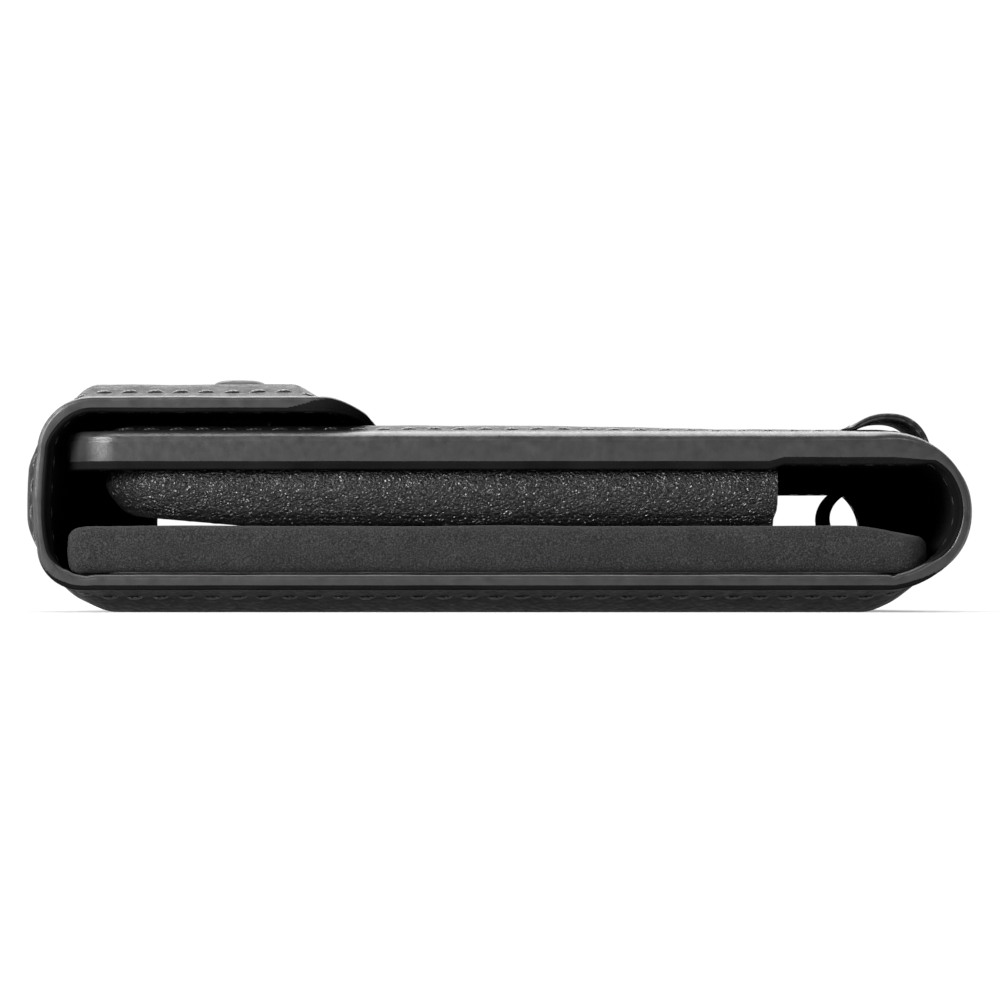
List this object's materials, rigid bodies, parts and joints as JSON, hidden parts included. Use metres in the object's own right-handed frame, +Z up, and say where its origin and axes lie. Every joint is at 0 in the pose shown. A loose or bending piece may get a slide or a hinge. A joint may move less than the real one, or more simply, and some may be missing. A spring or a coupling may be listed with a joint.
{
  "type": "phone wallet case",
  "caption": "Leather folio phone wallet: padded back cover, rounded spine, front cover with phone holder, side wall and snap-down flap.",
  "frame": {"origin": "centre of the case's box, on the surface that its back cover rests on", "axes": "+X from the side wall to the spine, +Y from the strap loop's end to the pen loop's end, +Z up through the thickness"},
  "size_m": [0.1006, 0.155, 0.0255],
  "materials": {
    "leather": "satin",
    "lining": "matte",
    "grained_leather": "satin",
    "suede": "matte",
    "foam": "matte",
    "board": "matte",
    "snap_metal": "polished"
  },
  "bodies": {
    "back_cover": {"back_leather": "leather", "back_foam": "foam", "back_board": "board", "back_lining": "lining", "pad_suede": "suede", "pad_foam": "foam", "pad_board": "board", "card_pocket_1": "lining", "card_pocket_2": "lining", "card_pocket_3": "lining"},
    "side_wall": {"wall_leather": "leather", "wall_foam": "foam", "wall_lining": "lining"},
    "flap": {"flap_leather": "leather", "flap_foam": "foam", "flap_board": "board", "flap_lining": "lining", "snap_cap_near": "snap_metal", "snap_socket_near": "snap_metal", "snap_cap_far": "snap_metal", "snap_socket_far": "snap_metal"},
    "spine": {"spine_leather": "leather", "spine_foam": "foam", "spine_lining": "lining", "pen_loop": "leather"},
    "front_cover": {"front_leather": "leather", "front_foam": "foam", "front_board": "board", "front_lining": "lining", "strap_loop": "leather", "holder_base": "board", "holder_gusset": "grained_leather", "holder_face": "grained_leather", "snap_stud_near": "snap_metal", "snap_washer_near": "snap_metal", "snap_stud_far": "snap_metal", "snap_washer_far": "snap_metal"}
  },
  "joints": [
    {"name": "side_wall_fold", "type": "hinge", "parent": "back_cover", "child": "side_wall", "pos_m": [-0.04743, 0, 0.00372], "axis": [0, -1, 0], "range_deg": [0, 90]},
    {"name": "flap_fold", "type": "hinge", "parent": "side_wall", "child": "flap", "pos_m": [-0.04705, 0, 0.02095], "axis": [0, -1, 0], "range_deg": [0, 90]},
    {"name": "spine_fold", "type": "hinge", "parent": "back_cover", "child": "spine", "pos_m": [0.04632, 0, 0.00483], "axis": [0, 1, 0], "range_deg": [0, 90]},
    {"name": "front_fold", "type": "hinge", "parent": "spine", "child": "front_cover", "pos_m": [0.04632, 0, 0.01657], "axis": [0, 1, 0], "range_deg": [0, 90]}
  ]
}
